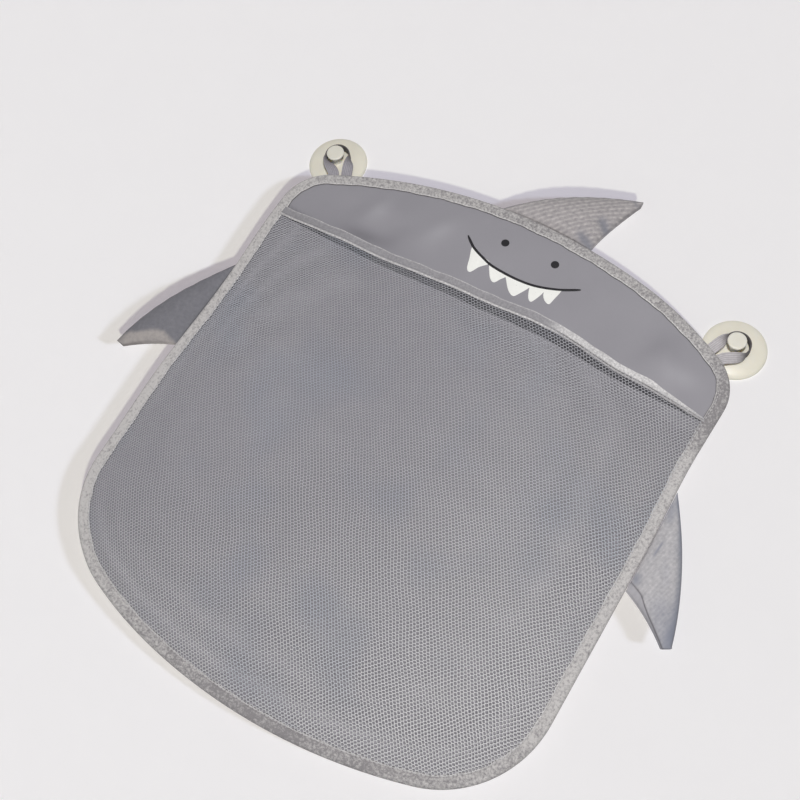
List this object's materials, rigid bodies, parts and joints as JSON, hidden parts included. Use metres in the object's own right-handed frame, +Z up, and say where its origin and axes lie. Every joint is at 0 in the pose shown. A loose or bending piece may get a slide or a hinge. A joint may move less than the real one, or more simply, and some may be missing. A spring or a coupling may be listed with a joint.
{
  "type": "hanging bath toy organizer",
  "caption": "Flat fabric bag in the shape of a shark with a mesh front pocket, stuffed fins and two suction cups in webbing loops that hang it on a smooth wall.",
  "frame": {"origin": "on the wall plane, midway between the centres of the two suction faces", "axes": "+Y into the wall, +Z up, +X to the right as seen from the front; the bag's front faces -Y"},
  "size_m": [0.4206, 0.0383, 0.4323],
  "materials": {
    "coated_fabric": "smooth grey woven fabric with a water-resistant coating",
    "binding_tape": "matt grey woven tape with stitching",
    "net": "fine pale grey polyester net",
    "fin_fabric": "matt grey canvas weave",
    "filling": "white polyester fibre filling",
    "webbing": "grey woven webbing",
    "silicone": "translucent off-white silicone, smooth"
  },
  "bodies": {
    "bag": {"back_panel": "coated_fabric", "edge_binding": "binding_tape"},
    "pocket_front": {"pocket_net": "net", "pocket_hem": "binding_tape"},
    "top_fin": {"top_fin_front_skin": "fin_fabric", "top_fin_rear_skin": "fin_fabric", "top_fin_filling": "filling"},
    "left_fin": {"left_fin_front_skin": "fin_fabric", "left_fin_rear_skin": "fin_fabric", "left_fin_filling": "filling"},
    "right_fin": {"right_fin_front_skin": "fin_fabric", "right_fin_rear_skin": "fin_fabric", "right_fin_filling": "filling"},
    "left_loop": {"left_loop": "webbing"},
    "right_loop": {"right_loop": "webbing"},
    "left_cup": {"left_suction_cup": "silicone"},
    "right_cup": {"right_suction_cup": "silicone"}
  },
  "joints": [
    {"name": "pocket_opens", "type": "hinge", "parent": "bag", "child": "pocket_front", "pos_m": [0, -0.0109, -0.3567], "axis": [1, 0, 0], "range_deg": [0, 8], "stiffness_Nm_per_rad": 0.3},
    {"name": "top_fin_folds", "type": "hinge", "parent": "bag", "child": "top_fin", "pos_m": [0.0065, -0.009, 0.0153], "axis": [1, 0, 0], "range_deg": [0, 60], "stiffness_Nm_per_rad": 0.02},
    {"name": "left_fin_folds", "type": "hinge", "parent": "bag", "child": "left_fin", "pos_m": [-0.1688, -0.009, -0.1445], "axis": [0, 0, 1], "range_deg": [0, 70], "stiffness_Nm_per_rad": 0.02},
    {"name": "right_fin_folds", "type": "hinge", "parent": "bag", "child": "right_fin", "pos_m": [0.1688, -0.009, -0.1445], "axis": [0, 0, -1], "range_deg": [0, 70], "stiffness_Nm_per_rad": 0.02},
    {"name": "left_loop_folds", "type": "hinge", "parent": "bag", "child": "left_loop", "pos_m": [-0.14915, -0.009, -0.01631], "axis": [0.901, 0, 0.4338], "range_deg": [0, 90], "stiffness_Nm_per_rad": 0.05},
    {"name": "right_loop_folds", "type": "hinge", "parent": "bag", "child": "right_loop", "pos_m": [0.14915, -0.009, -0.01631], "axis": [0.901, 0, -0.4338], "range_deg": [0, 90], "stiffness_Nm_per_rad": 0.05},
    {"name": "left_cup_turns", "type": "hinge", "parent": "left_loop", "child": "left_cup", "pos_m": [-0.157, -0.009, 0], "axis": [0, 1, 0], "continuous": true},
    {"name": "right_cup_turns", "type": "hinge", "parent": "right_loop", "child": "right_cup", "pos_m": [0.157, -0.009, 0], "axis": [0, 1, 0], "continuous": true}
  ]
}
